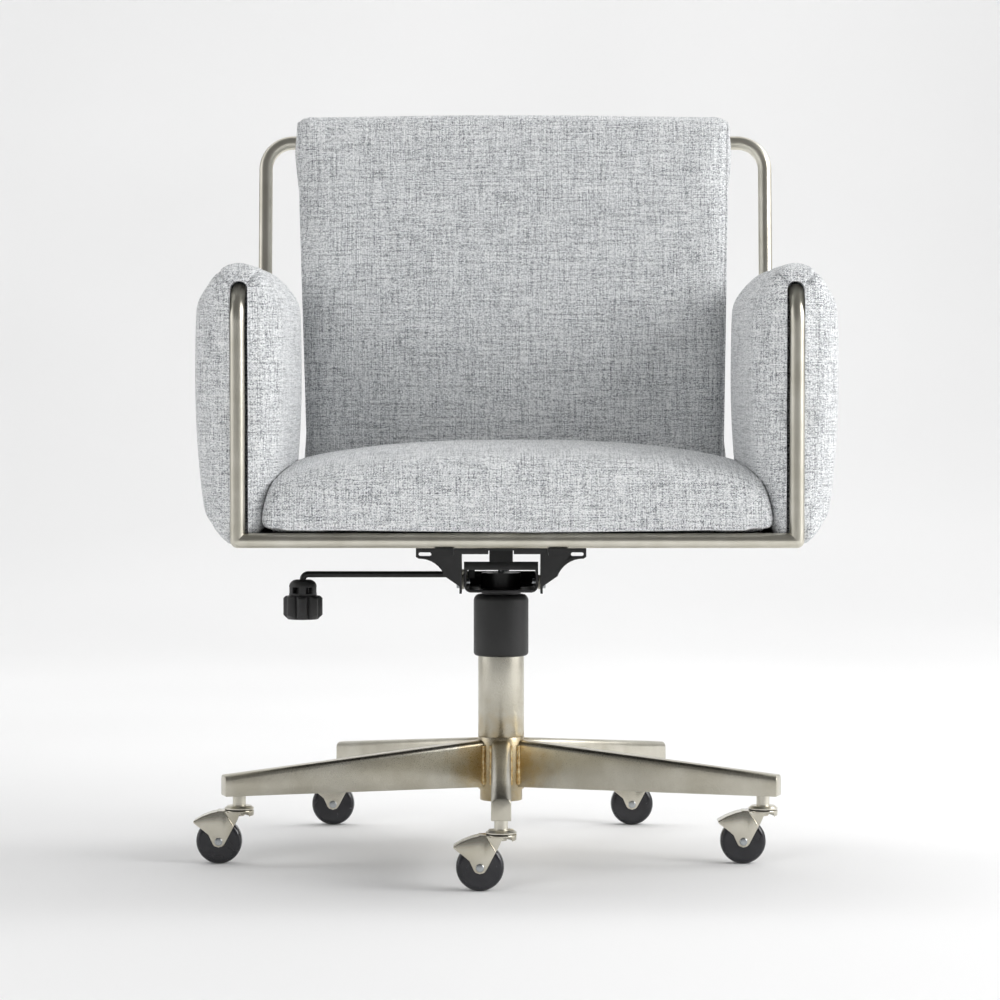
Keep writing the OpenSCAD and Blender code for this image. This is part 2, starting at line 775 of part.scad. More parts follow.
module cross_rails() {
    span = half_w;
    color(nickel) for (y = [post_y, foot_y]) translate([seat_shift, y, rail_z]) difference() {
        x_rod(-span, span, tube_r, 0, 0);
        x_rod(-span - 1, span + 1, tube_bore_r, 0, 0);
        for (side = [-1, 1]) translate([side * half_w, 0, 0]) post_end(y);
    }
}

module side_rails() {
    color(nickel) for (side = [-1, 1]) translate([seat_shift + side * half_w, 0, rail_z])
        difference() {
            y_rod(post_y, foot_y, tube_r, 0, 0);
            y_rod(post_y - 1, foot_y + 1, tube_bore_r, 0, 0);
            for (y = [post_y, foot_y]) translate([0, y, 0]) {
                post_end(y);
                x_rod(-4 * tube_r, 4 * tube_r, cope_r, 0, 0);
            }
        }
}

// Centreline of one arm loop: up the front post, round the bend and back along the arm rail.
module arm_loop_run(r, back_y) {
    top = arm_rail_z;
    translate([0, post_y, rail_z]) cylinder(r = r, h = top - bend_r - rail_z);
    translate([0, post_y + bend_r, top - bend_r]) rotate([90, 0, -90])
        rotate_extrude(angle = 90) translate([bend_r, 0]) circle(r);
    y_rod(post_y + bend_r, back_y, r, 0, top);
}

module arm_loop() {
    color(nickel) difference() {
        union() {
            arm_loop_run(tube_r, foot_y + arm_rise * tan(lean));
            translate([0, post_y, rail_z]) sphere(tube_r);
        }
        arm_loop_run(tube_bore_r, foot_y + arm_rise * tan(lean) + 1);
        translate([0, foot_y, rail_z]) rotate([-lean, 0, 0])
            cylinder(r = cope_r, h = hoop_rise - bend_r);
    }
}

// Half of the hoop's centreline, on the side that side names.
module hoop_run(r) {
    for (side = [0, 1]) mirror([side, 0, 0]) {
        translate([half_w, 0, 0]) cylinder(r = r, h = hoop_rise - bend_r);
        translate([half_w - bend_r, 0, hoop_rise - bend_r]) rotate([90, 0, 0])
            rotate_extrude(angle = 90) translate([bend_r, 0]) circle(r);
    }
    x_rod(-half_w + bend_r, half_w - bend_r, r, 0, hoop_rise);
}

module back_hoop() {
    color(nickel) at_hoop() difference() {
        union() {
            hoop_run(tube_r);
            for (side = [-1, 1]) translate([side * half_w, 0, 0]) sphere(tube_r);
        }
        hoop_run(tube_bore_r);
    }
}

// ---------------------------------------------------------------- upholstery

module back_board() {
    color(plywood) at_hoop() difference() {
        translate([-back_board_w / 2, -back_board_t / 2, tube_r])
            cube([back_board_w, back_board_t, hoop_rise - 2 * tube_r - 4]);
        bracket_holes();
    }
}

module bracket_holes() {
    for (side = [-1, 1]) y_rod(-back_board_t, 2 * back_board_t, bolt_r, side * bracket_x, bracket_bolt_z);
}

// Two tabs welded to the back of the rear rail, which the back board is bolted to.
module back_brackets() {
    color(black) at_hoop() difference() {
        for (side = [-1, 1]) translate([side * bracket_x - bracket_w / 2, back_board_t / 2, 0])
            cube([bracket_w, bracket_t, bracket_h]);
        x_rod(-half_w, half_w, tube_r, 0, 0);
        bracket_holes();
    }
}

module back_bolts() {
    low = -back_board_t / 2;
    high = back_board_t / 2 + bracket_t;
    color(steel) at_hoop() for (side = [-1, 1]) {
        y_rod(low, high + nudge, bolt_r, side * bracket_x, bracket_bolt_z);
        y_rod(high, high + head_t, bolt_head_r, side * bracket_x, bracket_bolt_z);
    }
}

// Back cushion: a block with soft corners that slips over the board and round the hoop's top.
module back_cushion() {
    top = hoop_rise + back_over;
    front = -back_t + back_behind;
    color(cloth) at_hoop() difference() {
        intersection() {
            translate([-half_w, 0, 0]) rotate([90, 0, 90]) linear_extrude(2 * half_w)
                round_rect(front, back_behind, back_lift, top, back_corner, back_corner);
            upright_sheet(4 * back_t)
                round_rect(-back_w / 2, back_w / 2, back_lift, top, back_corner, back_corner);
        }
        x_rod(-half_w, half_w, tube_r + slot_gap, 0, hoop_rise);
        translate([-back_board_w / 2 - soft_gap, -back_board_t / 2 - soft_gap, 0])
            cube([back_board_w + 2 * soft_gap, back_board_t + 2 * soft_gap,
                  hoop_rise - tube_r - 3]);
        for (side = [-1, 1]) translate([side * bracket_x - bracket_w / 2 - 1, 0, 0])
            cube([bracket_w + 2, 2 * back_t, bracket_h + 2]);
    }
}

// Seat cushion: round front, crowned top and a back face that leans with the back cushion.
module seat_cushion() {
    top = seat_z + seat_h;
    rear = foot_y - (back_t - back_behind + soft_gap) / cos(lean);
    crown_r = 1500;
    color(cloth) intersection() {
        translate([seat_shift - seat_w / 2, 0, 0]) rotate([90, 0, 90]) linear_extrude(seat_w)
            intersection() {
                round_rect(seat_front, rear + 40, seat_z, top, seat_corner / 2, seat_corner);
                polygon([[seat_front, seat_z], [rear + (seat_z - rail_z) * tan(lean), seat_z],
                         [rear + (top - rail_z) * tan(lean), top], [seat_front, top]]);
            }
        translate([seat_shift, 0, 0]) upright_sheet(4 * front_reach) intersection() {
            round_rect(-seat_w / 2, seat_w / 2, seat_z, top, seat_corner / 2, seat_corner);
            translate([0, top - crown_r]) circle(crown_r, $fn = 128);
        }
    }
}

// Room for the tubes that run in an arm pad: open at the front and below, covered on top.
module pad_channel() {
    r = tube_r + slot_gap;
    back_y = foot_y + arm_rise * tan(lean) + 20;
    arm_loop_run(r, back_y);
    translate([0, post_y, rail_z]) sphere(r);
    y_rod(post_y, back_y, r, 0, rail_z);
    x_rod(-pad_t, 0, r, post_y, rail_z);
    translate([-pad_t, post_y - 20, 0]) cube([pad_t, 20 + r, rail_z]);
    translate([-r, post_y - 20, 0]) cube([2 * r, 20, arm_rail_z - bend_r]);
    translate([-r, post_y, 0]) cube([2 * r, frame_depth, rail_z]);
}

// Large circle whose edge is one face of a pad, fullest at a height or depth.
module pad_bulge(side, fullest) {
    translate([side * (pad_bulge_r - pad_t / 2), fullest]) circle(pad_bulge_r, $fn = 128);
}

// Arm pad in its own place about x = 0: outer side towards +X.
module arm_pad() {
    low = rail_z - pad_under;
    top = arm_rail_z + pad_over;
    front = post_y - 5;
    reach = foot_y - tube_r - soft_gap - 2;
    color(cloth) difference() {
        intersection() {
            upright_sheet(4 * front_reach) intersection() {
                round_rect(-pad_t / 2, pad_t / 2, low, top, 26, 48);
                pad_bulge(-1, (low + top) / 2 + 30);
                pad_bulge(1, (low + top) / 2 + 30);
            }
            linear_extrude(top + 1) intersection() {
                round_rect(-pad_t / 2, pad_t / 2, front, reach + (top - rail_z) * tan(lean), 22, 22);
                pad_bulge(-1, pad_full_y);
                pad_bulge(1, pad_full_y);
            }
            translate([-pad_t, 0, 0]) rotate([90, 0, 90]) linear_extrude(2 * pad_t) polygon(concat(
                [[front, low], [reach + (low - rail_z) * tan(lean), low]],
                [[reach + (top - 30 - rail_z) * tan(lean), top - 30],
                 [reach + (top - 30 - rail_z) * tan(lean) - 20, top]],
                arc([front + 22, top - 22], 22, 90, 180, 6)));
        }
        pad_channel();
        translate([-pad_t, 2 * post_y, 0]) cube([pad_t - pad_inner, 4 * front_reach, pad_split_z]);
    }
}

module place_side(side) {
    translate([seat_shift + side * half_w, 0, 0]) mirror([side < 0 ? 1 : 0, 0, 0]) children();
}

base_hub();
at_arm(0) base_arm();  // base_arm_front
at_arm(1) base_arm();  // base_arm_right
at_arm(2) base_arm();  // base_arm_back_right
at_arm(3) base_arm();  // base_arm_back_left
at_arm(4) base_arm();  // base_arm_left
hub_welds();
caster_stems();
column_tube();
guide_bush();
thrust_bearing();
lift_bumper();
piston_rod();
retaining_clip();
at_stem(0) caster_fork();  // caster_fork_front
at_stem(1) caster_fork();  // caster_fork_right
at_stem(2) caster_fork();  // caster_fork_back_right
at_stem(3) caster_fork();  // caster_fork_back_left
at_stem(4) caster_fork();  // caster_fork_left
at_stem(0) caster_axle();  // caster_axle_front
at_stem(1) caster_axle();  // caster_axle_right
at_stem(2) caster_axle();  // caster_axle_back_right
at_stem(3) caster_axle();  // caster_axle_back_left
at_stem(4) caster_axle();  // caster_axle_left
at_stem(0) caster_wheel();  // caster_wheel_front
at_stem(1) caster_wheel();  // caster_wheel_right
at_stem(2) caster_wheel();  // caster_wheel_back_right
at_stem(3) caster_wheel();  // caster_wheel_back_left
at_stem(4) caster_wheel();  // caster_wheel_left
gas_cylinder();
column_sleeve();
mechanism_pan();
cylinder_socket();
tilt_pivot_bolts();
tilt_bushes();
tilt_stop();
tension_spring();
lever_bush();
valve_pin();
lever_rod();
lever_finger();
knob_collar();
knob_wheel();
seat_plate();
seat_bolts();
seat_crossbars();
board_screws();
seat_board();
seat_cushion();
cross_rails();
side_rails();
place_side(-1) arm_loop();  // arm_loop_left
place_side(1) arm_loop();  // arm_loop_right
back_hoop();
back_board();
back_brackets();
back_bolts();
back_cushion();
place_side(-1) arm_pad();  // arm_pad_left
place_side(1) arm_pad();  // arm_pad_right
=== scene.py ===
# %% [markdown]
# # A swivel office chair
# An upholstered seat, back and two arm pads on a bent steel tube frame. Below it are a tilting
# seat plate, a gas lift and a welded five-arm base on hooded casters. The hard parts come from
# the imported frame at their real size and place. This lesson gives each of them its finish and
# models what a sheet of steel and a roll of cloth really look like: arms with rolled edges,
# weld beads, pressed caster hoods, cushions, seams and welts. Everything is in metres.

# %% Open the frame
import json
import math

import bmesh
import bpy
import numpy as np
from mathutils import Matrix, Vector


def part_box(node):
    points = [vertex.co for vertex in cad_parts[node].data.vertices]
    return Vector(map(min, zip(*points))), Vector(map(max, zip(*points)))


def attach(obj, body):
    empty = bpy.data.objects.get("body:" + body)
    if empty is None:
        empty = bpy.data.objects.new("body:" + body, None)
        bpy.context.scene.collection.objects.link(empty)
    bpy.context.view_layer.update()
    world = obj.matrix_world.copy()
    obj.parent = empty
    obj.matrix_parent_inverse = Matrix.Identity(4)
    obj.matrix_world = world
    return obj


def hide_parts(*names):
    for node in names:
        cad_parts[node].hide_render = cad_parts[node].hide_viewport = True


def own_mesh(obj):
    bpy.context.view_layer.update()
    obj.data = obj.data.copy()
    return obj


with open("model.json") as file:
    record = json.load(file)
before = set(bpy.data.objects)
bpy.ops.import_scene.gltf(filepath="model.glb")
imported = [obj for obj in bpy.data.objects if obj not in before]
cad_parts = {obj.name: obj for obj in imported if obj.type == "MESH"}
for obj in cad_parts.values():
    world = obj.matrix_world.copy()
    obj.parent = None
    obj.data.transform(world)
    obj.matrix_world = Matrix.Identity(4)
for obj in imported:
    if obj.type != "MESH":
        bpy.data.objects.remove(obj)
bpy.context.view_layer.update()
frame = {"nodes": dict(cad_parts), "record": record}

MM = 0.001
nodes = frame["nodes"]
body_of = {n: b for b, names in frame["record"]["behaviour"]["bodies"].items() for n in names}

# %% [markdown]
# ## The camera and the studio
# A long lens four metres away keeps the legs and rails nearly parallel. The room is one sheet
# that is floor and wall at once, with a round bend between them, so no corner shows. The sheet
# is a plane whose back edge is extruded upwards and bevelled: a real studio bends a roll of
# paper the same way.

# %% Camera
LENS_HEIGHT = 0.547
camera_data = bpy.data.cameras.new("camera")
camera_data.sensor_width = 36
camera_data.lens = 130.9
camera = bpy.data.objects.new("camera", camera_data)
bpy.context.scene.collection.objects.link(camera)
camera.location = (-0.0012, -4.067, LENS_HEIGHT)
camera.rotation_euler = (math.radians(90 - 2.137), 0, 0)
bpy.context.scene.camera = camera
bpy.context.scene.view_settings.view_transform = "Standard"
print("camera at", tuple(camera.location))


# %% Helpers for operators
def take(obj):
    """Makes obj the only selected object, and the active one."""
    if bpy.context.object and bpy.context.object.mode != "OBJECT":
        bpy.ops.object.mode_set(mode="OBJECT")
    bpy.ops.object.select_all(action="DESELECT")
    obj.select_set(True)
    bpy.context.view_layer.objects.active = obj


def primitive(kind, name, **settings):
    """Adds a primitive at its size and place, with its place in its mesh."""
    if bpy.context.object and bpy.context.object.mode != "OBJECT":
        bpy.ops.object.mode_set(mode="OBJECT")
    bpy.ops.object.select_all(action="DESELECT")
    getattr(bpy.ops.mesh, "primitive_" + kind + "_add")(**settings)
    obj = bpy.context.object
    obj.name = name
    bpy.ops.object.transform_apply(location=True, rotation=True, scale=True)
    return obj


def choose(obj, kind, test):
    """In edit mode, selects the verts, edges or faces whose middle passes the test."""
    modes = ("verts", "edges", "faces")
    bpy.context.tool_settings.mesh_select_mode = tuple(kind == m for m in modes)
    bpy.ops.mesh.select_all(action="DESELECT")
    shape = bmesh.from_edit_mesh(obj.data)
    for part in getattr(shape, kind):
        ends = [part.co] if kind == "verts" else [v.co for v in part.verts]
        part.select_set(bool(test(sum(ends, Vector()) / len(ends), part)))
    shape.select_flush_mode()
    bmesh.update_edit_mesh(obj.data)


def edit(obj):
    """Opens obj in edit mode."""
    take(obj)
    bpy.ops.object.mode_set(mode="EDIT")


def done(obj, outward=False):
    """Leaves edit mode, first turning the faces outwards where that is asked."""
    if outward:
        bpy.ops.mesh.select_all(action="SELECT")
        bpy.ops.mesh.normals_make_consistent(inside=False)
    bpy.ops.object.mode_set(mode="OBJECT")
    return obj


def modify(obj, kind, **settings):
    """Adds a modifier and applies it."""
    take(obj)
    modifier = obj.modifiers.new(kind, kind)
    for key, value in settings.items():
        setattr(modifier, key, value)
    bpy.ops.object.modifier_apply(modifier=modifier.name)
    return obj


def smooth(obj, angle=35):
    """Smooth shading, with edges sharper than the angle kept crisp."""
    take(obj)
    bpy.ops.object.shade_smooth_by_angle(angle=math.radians(angle))
    return obj


def fit(obj, body, finish, slot, *stands_for):
    """Puts a finished piece on its body, with its finish and the pieces it stands for."""
    obj.data.materials.clear()
    obj.data.materials.append(finish)
    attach(obj, body)
    if stands_for:
        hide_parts(*stands_for)
    return obj


def copy_of(obj, name, matrix=None):
    """A copy with its own mesh, moved by a matrix."""
    twin = bpy.data.objects.new(name, obj.data.copy())
    bpy.context.scene.collection.objects.link(twin)
    if matrix is not None:
        twin.data.transform(matrix)
        if matrix.determinant() < 0:
            twin.data.flip_normals()
    return twin


# %% Helpers for points
def points(obj):
    """The piece's points, as rows of x, y and z."""
    flat = np.empty(len(obj.data.vertices) * 3)
    obj.data.vertices.foreach_get("co", flat)
    return flat.reshape(-1, 3)


def put(obj, rows):
    """Moves the piece's points to these rows."""
    obj.data.vertices.foreach_set("co", rows.ravel())
    obj.data.update()


# %% [markdown]
# ## Finishes
# Every finish is built from nodes that read the object's own coordinates, so that nothing
# slides when the chair moves. A colour is written as a sheet of paint would name it, in hex,
# and one function turns it into the linear light that the shader wants. One small function
# adds a node, sets it and links it.

# %% Helpers for finishes
def paint(code):
    """A hex sRGB colour as linear light."""
    parts = [int(code[i:i + 2], 16) / 255 for i in (1, 3, 5)]
    return tuple(c / 12.92 if c <= 0.04045 else ((c + 0.055) / 1.055) ** 2.4 for c in parts) + (1,)


def add(mat, kind, links=None, **settings):
    """Adds a node with its settings; links gives its sockets values or other nodes' outputs."""
    made = kind if isinstance(kind, bpy.types.Node) else mat.node_tree.nodes.new("ShaderNode" + kind)
    for key, value in settings.items():
        setattr(made, key, value)
    for key, value in (links or {}).items():
        if isinstance(value, bpy.types.NodeSocket):
            mat.node_tree.links.new(value, made.inputs[key])
        else:
            made.inputs[key].default_value = value
    return made


def new_finish(name):
    """A material, its main shader, and the object's coordinates in millimetres."""
    mat = bpy.data.materials.new(name)
    mat.use_nodes = True
    spot = add(mat, "TexCoord")
    spot_mm = add(mat, "VectorMath", {0: spot.outputs["Object"], "Scale": 1000}, operation="SCALE")
    return mat, mat.node_tree.nodes["Principled BSDF"], spot_mm.outputs[0]


def ramp(mat, fac, stops):
    """A colour ramp through the stops, each a place and a hex colour."""
    made = add(mat, "ValToRGB", {"Fac": fac})
    elements = made.color_ramp.elements
    while len(elements) < len(stops):
        elements.new(0.5)
    for element, (place, code) in zip(elements, stops):
        element.position = place
        element.color = paint(code)
    return made.outputs["Color"]


def grain(mat, spot_mm, size, detail=2.0):
    """Noise whose blobs are about that many millimetres across."""
    made = add(mat, "TexNoise", {"Vector": spot_mm, "Scale": 1 / size, "Detail": detail})
    return made.outputs["Fac"]


def span(mat, value, low, high):
    """Stretches noise, which keeps to 0.3 to 0.7, over a range."""
    made = add(mat, "MapRange", {"Value": value, "From Min": 0.3, "From Max": 0.7,
                                 "To Min": low, "To Max": high})
    return made.outputs["Result"]


# %% [markdown]
# ### Metals
# The frame is mild steel, bent, welded, and plated in satin nickel: a warm pale grey with a
# soft blurred shine. Plating follows the ground surface, so the roughness wanders a little and
# a fine grain scatters the light. Near the hub the heat of the welding has left straw and
# brown bands under the lacquer, so the base has a finish of its own that reads how far a point
# is from the column.

# %% Satin nickel
def nickel(name, tones, rough, bump=0.02):
    """Plated steel: colour drifts between two tones, roughness wanders about rough."""
    mat, shader, spot = new_finish(name)
    cloud = grain(mat, spot, 40, 3)
    fine = grain(mat, spot, 0.7, 2)
    colour = ramp(mat, cloud, [(0.35, tones[0]), (0.65, tones[1])])
    skin = add(mat, "Bump", {"Height": fine, "Strength": bump, "Distance": 0.0002})
    add(mat, shader, {"Base Color": colour, "Metallic": 1.0, "Normal": skin.outputs["Normal"],
                      "Roughness": span(mat, fine, rough - 0.05, rough + 0.05)})
    return mat, shader, spot, colour


satin_nickel = nickel("satin_nickel_plate", ("#cfcbbd", "#e0dcd0"), 0.33, 0.1)[0]
caster_nickel = nickel("bright_nickel_plate", ("#bdb7a6", "#d6d2c6"), 0.2)[0]
zinc_steel = nickel("clear_zinc_plate", ("#a9adb0", "#c3c7c9"), 0.3)[0]

# %% Nickel with heat tint
# Fades from the welds, 26 mm from the hub's middle, out to 75 mm, and noise breaks its edge.
base_nickel, shader, spot, colour = nickel("heat_tinted_nickel", ("#c0bbac", "#d2cec1"), 0.3, 0.1)
from_hub = add(base_nickel, "VectorMath", {0: spot, 1: (0, 0, 98)}, operation="SUBTRACT")
from_axis = add(base_nickel, "VectorMath", {0: from_hub.outputs[0]}, operation="LENGTH")
wander = span(base_nickel, grain(base_nickel, spot, 14, 4), -14, 14)
edge = add(base_nickel, "Math", {0: from_axis.outputs["Value"], 1: wander}, operation="ADD")
reach = add(base_nickel, "MapRange", {"Value": edge.outputs[0], "From Min": 20, "From Max": 75})
tint = ramp(base_nickel, reach.outputs["Result"],
            [(0.0, "#f0dcb6"), (0.3, "#f4e6cc"), (0.6, "#f8f2e8"), (0.9, "#ffffff")])
mixed = add(base_nickel, "Mix", {"Factor": 1.0, 6: colour, 7: tint},
            data_type="RGBA", blend_type="MULTIPLY")
add(base_nickel, shader, {"Base Color": mixed.outputs[2]})

# %% Weld metal
weld_metal, shader, spot = new_finish("straw_tinted_weld")
patch = grain(weld_metal, spot, 5, 3)
add(weld_metal, shader, {"Metallic": 1.0, "Roughness": 0.28, "Base Color": ramp(
    weld_metal, patch, [(0.35, "#c9a877"), (0.5, "#dcc08c"), (0.66, "#efe0b8")])})
print("metals made")

# %% [markdown]
# ### Blacks
# The lift's sleeve, the lever's hand wheel and the collar are moulded polypropylene with the
# fine sparkle of an etched mould. The pan, the seat plate and the lever rod are pressed steel
# with baked powder paint, which has a slight orange peel. The wheels are hard urethane, turned
# smooth by the floor, and nearly glossy.

# %% Plastics, paint and rubber
def dull(name, tones, rough, size, bump, distance):
    """A non-metal with a textured skin: grain size in millimetres, bump depth in metres."""
    mat, shader, spot = new_finish(name)
    skin_noise = grain(mat, spot, size, 3)
    skin = add(mat, "Bump", {"Height": skin_noise, "Strength": bump, "Distance": distance})
    add(mat, shader, {"Base Color": ramp(mat, grain(mat, spot, 30, 2), [(0.3, tones[0]), (0.7, tones[1])]),
                      "Roughness": span(mat, skin_noise, rough - 0.08, rough + 0.08),
                      "Normal": skin.outputs["Normal"]})
    return mat


moulded_black = dull("moulded_black_polypropylene", ("#242424", "#2e2e2e"), 0.46, 0.5, 0.3, 0.0001)
powder_black = dull("black_powder_coat", ("#151515", "#1f1f1f"), 0.38, 1.6, 0.25, 0.0001)
soft_black = dull("black_rubber", ("#1a1a1a", "#242424"), 0.7, 0.8, 0.3, 0.0001)
wheel_urethane = dull("grey_urethane_tread", ("#1b1b1e", "#28282c"), 0.2, 6, 0.05, 0.0002)
white_nylon = dull("natural_nylon", ("#d8d4c6", "#e6e3d8"), 0.45, 1.0, 0.1, 0.0001)
dust_cloth = dull("black_dust_cloth", ("#121212", "#1c1c1c"), 0.9, 0.6, 0.6, 0.0002)

# %% Plywood
# Birch ply: long pale grain on the face, and dark glue lines 1.3 mm apart on the edge.
plywood, shader, spot = new_finish("birch_plywood")
stretched = add(plywood, "VectorMath", {0: spot, 1: (1, 0.05, 1)}, operation="MULTIPLY")
figure = add(plywood, "TexNoise", {"Vector": stretched.outputs[0], "Scale": 0.25, "Detail": 4})
layers = add(plywood, "TexWave", {"Vector": spot, "Scale": 0.12, "Distortion": 0.4},
             bands_direction="Z")
face = ramp(plywood, figure.outputs["Fac"], [(0.35, "#b78f5c"), (0.65, "#d9b988")])
edge = ramp(plywood, layers.outputs["Fac"], [(0.2, "#6d4f30"), (0.5, "#ffffff")])
board_colour = add(plywood, "Mix", {"Factor": 0.35, 6: face, 7: edge},
                   data_type="RGBA", blend_type="MULTIPLY")
add(plywood, shader, {"Base Color": board_colour.outputs[2], "Roughness": 0.6})
print("blacks and boards made")

# %% [markdown]
# ### Woven cloth
# The cover is a plain weave of slub yarns: light grey warp and weft, with thick white and dark
# grey slubs that come and go along their length. In a plain weave each yarn goes over one and
# under the next, so a dark weft yarn shows as a row of dashes. The finish does the same:
# streaky noise gives every yarn its colour along its length, once across and once down, a fine
# grit shared by both breaks it up, and a checker decides which one is on top. The yarns of a
# real cover are about 0.8 mm thick, too fine to show from four metres, so they are drawn
# 1.3 mm apart. A flat pattern has to be laid on a face from the side that it faces, so the
# finish picks its two directions by the normal.

# %% Slub weave
def slub_weave(name):
    """The cover cloth."""
    mat, shader, spot = new_finish(name)
    yarn = 1.3
    facing = add(mat, "VectorMath", {0: add(mat, "TexCoord").outputs["Normal"]}, operation="ABSOLUTE")
    n = add(mat, "SeparateXYZ", {0: facing.outputs[0]}).outputs
    p = add(mat, "SeparateXYZ", {0: spot}).outputs
    flat_yz = add(mat, "Math", {0: n[1], 1: n[2]}, operation="MAXIMUM").outputs[0]
    flat_xy = add(mat, "Math", {0: n[0], 1: n[1]}, operation="MAXIMUM").outputs[0]
    side = add(mat, "Math", {0: n[0], 1: flat_yz}, operation="GREATER_THAN").outputs[0]
    top = add(mat, "Math", {0: n[2], 1: flat_xy}, operation="GREATER_THAN").outputs[0]
    across = add(mat, "Mix", {"Factor": side, 2: p[0], 3: p[1]}).outputs[0]
    down = add(mat, "Mix", {"Factor": top, 2: p[2], 3: p[1]}).outputs[0]

    def streaks(wide, high, seed):
        """Noise whose blobs are that wide and high in millimetres."""
        place = add(mat, "CombineXYZ", {"X": across, "Y": down, "Z": seed})
        sized = add(mat, "VectorMath", {0: place.outputs[0], 1: (1 / wide, 1 / high, 1)},
                    operation="MULTIPLY")
        made = add(mat, "TexNoise", {"Vector": sized.outputs[0], "Scale": 1.0, "Detail": 3,
                                     "Roughness": 0.7})
        return made.outputs["Fac"]

    grit = streaks(1.8, yarn, 5.3)
    weft = add(mat, "Mix", {"Factor": 0.55, 2: streaks(34, yarn, 3.4), 3: grit}).outputs[0]
    warp = add(mat, "Mix", {"Factor": 0.5, 2: streaks(yarn, 40, 9.7), 3: grit}).outputs[0]
    weft_colour = ramp(mat, weft, [(0.38, "#303338"), (0.44, "#83868a"), (0.5, "#d0d2d4"),
                                   (0.58, "#f3f4f4")])
    warp_colour = ramp(mat, warp, [(0.38, "#54575b"), (0.44, "#a2a5a8"), (0.5, "#d6d8da"),
                                   (0.57, "#f3f4f4")])
    flat_place = add(mat, "CombineXYZ", {"X": across, "Y": down, "Z": 0.25})
    over = add(mat, "TexChecker", {"Vector": flat_place.outputs[0], "Scale": 1 / yarn})
    woven = add(mat, "Mix", {"Factor": over.outputs["Fac"], 6: weft_colour, 7: warp_colour},
                data_type="RGBA")
    round_weft = add(mat, "Math", {0: down, 1: yarn}, operation="PINGPONG").outputs[0]
    round_warp = add(mat, "Math", {0: across, 1: yarn}, operation="PINGPONG").outputs[0]
    crest = add(mat, "Mix", {"Factor": over.outputs["Fac"], 2: round_weft, 3: round_warp})
    knots = add(mat, "Math", {0: streaks(5, 2.5, 7.0), 1: 2.0, 2: crest.outputs[0]},
                operation="MULTIPLY_ADD")
    skin = add(mat, "Bump", {"Height": knots.outputs[0], "Strength": 0.45, "Distance": 0.0006})
    add(mat, shader, {"Base Color": woven.outputs[2], "Roughness": 0.9, "Sheen Weight": 0.2,
                      "Sheen Roughness": 0.45, "Specular IOR Level": 0.25,
                      "Normal": skin.outputs["Normal"]})
    return mat


woven_cloth = slub_weave("grey_slub_weave")
print("cloth made")

# %% [markdown]
# ## Finishing the hard parts
# Most of the frame's pieces already have their right shape. Each gets its finish in its first
# material slot. Pressed and moulded pieces also need eased edges, because a real edge is never
# a knife edge and it catches a thin line of light. Such a piece is a copy of the frame's own
# mesh: its loose triangles are merged, its flat faces joined, and a bevel modifier eases every
# edge sharper than thirty degrees.

# %% Finishes by piece
finish_of = {
    "satin_nickel": (satin_nickel, ["cross_rails", "side_rails", "arm_loop_left", "arm_loop_right",
                                    "back_hoop", "caster_stems"]),
    "zinc_steel": (zinc_steel, ["thrust_bearing", "piston_rod", "retaining_clip", "valve_pin",
                                "tilt_pivot_bolts", "seat_bolts", "board_screws", "back_bolts"]),
    "black_steel": (powder_black, ["lever_rod", "lever_finger", "seat_crossbars", "back_brackets",
                                   "gas_cylinder", "cylinder_socket"]),
    "black_rubber": (soft_black, ["lift_bumper", "tilt_stop"]),
    "nylon": (white_nylon, ["tilt_bushes", "lever_bush"]),
    "black_plastic": (moulded_black, ["guide_bush"]),
    "plywood": (plywood, ["back_board"]),
}
for finish, names in finish_of.values():
    for name in names:
        nodes[name].data.materials.clear()
        nodes[name].data.materials.append(finish)
nodes["seat_board"].data.materials.clear()
nodes["seat_board"].data.materials.append(dust_cloth)


# %% Eased copies
def eased(name, finish, slot, width):
    """Replaces a frame piece by a copy of it whose sharp edges are rounded."""
    obj = copy_of(nodes[name], name + "_shell")
    edit(obj)
    bpy.ops.mesh.customdata_custom_splitnormals_clear()
    bpy.ops.mesh.select_all(action="SELECT")
    bpy.ops.mesh.remove_doubles(threshold=0.02 * MM)
    bpy.ops.mesh.dissolve_limited(angle_limit=math.radians(1))
    done(obj, outward=True)
    modify(obj, "BEVEL", width=width, segments=2, limit_method="ANGLE",
           angle_limit=math.radians(30), harden_normals=False)
    smooth(obj)
    return fit(obj, body_of[name], finish, slot, name)


eased("column_tube", base_nickel, "satin_nickel", 0.7 * MM)
eased("base_hub", base_nickel, "satin_nickel", 0.7 * MM)
eased("mechanism_pan", powder_black, "black_steel", 0.8 * MM)
eased("seat_plate", powder_black, "black_steel", 0.6 * MM)
eased("knob_wheel", moulded_black, "black_plastic", 1.2 * MM)
eased("knob_collar", moulded_black, "black_plastic", 0.8 * MM)
eased("column_sleeve", moulded_black, "black_plastic", 0.8 * MM)
arm_names = ["front", "right", "back_right", "back_left", "left"]
for name in arm_names:
    eased("caster_axle_" + name, zinc_steel, "zinc_steel", 0.4 * MM)
print("eased copies made")

# %% [markdown]
# ### Casters
# A hood is pressed from sheet and folded round the wheel. Seen from the side its back slopes
# from the race plate to a pointed visor, and its cheeks narrow to the axle's boss. A filled
# circle with as many points as the outline is moved to the outline's corners and pushed out
# sideways, then a cylinder is cut away inside for the wheel. Under the plate the cheeks step
# in. The five casters point the same way, so one set serves them all.

# %% One caster, then five
fork_low, fork_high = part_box("caster_fork_front")
wheel_low, wheel_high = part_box("caster_wheel_front")
stem_at = Vector((0, (fork_low.y + fork_high.y) / 2, 0))
axle_at = (wheel_low + wheel_high) / 2
wheel_size = (wheel_high.z - wheel_low.z) / 2
plate_z = fork_high.z - 1.0 * MM


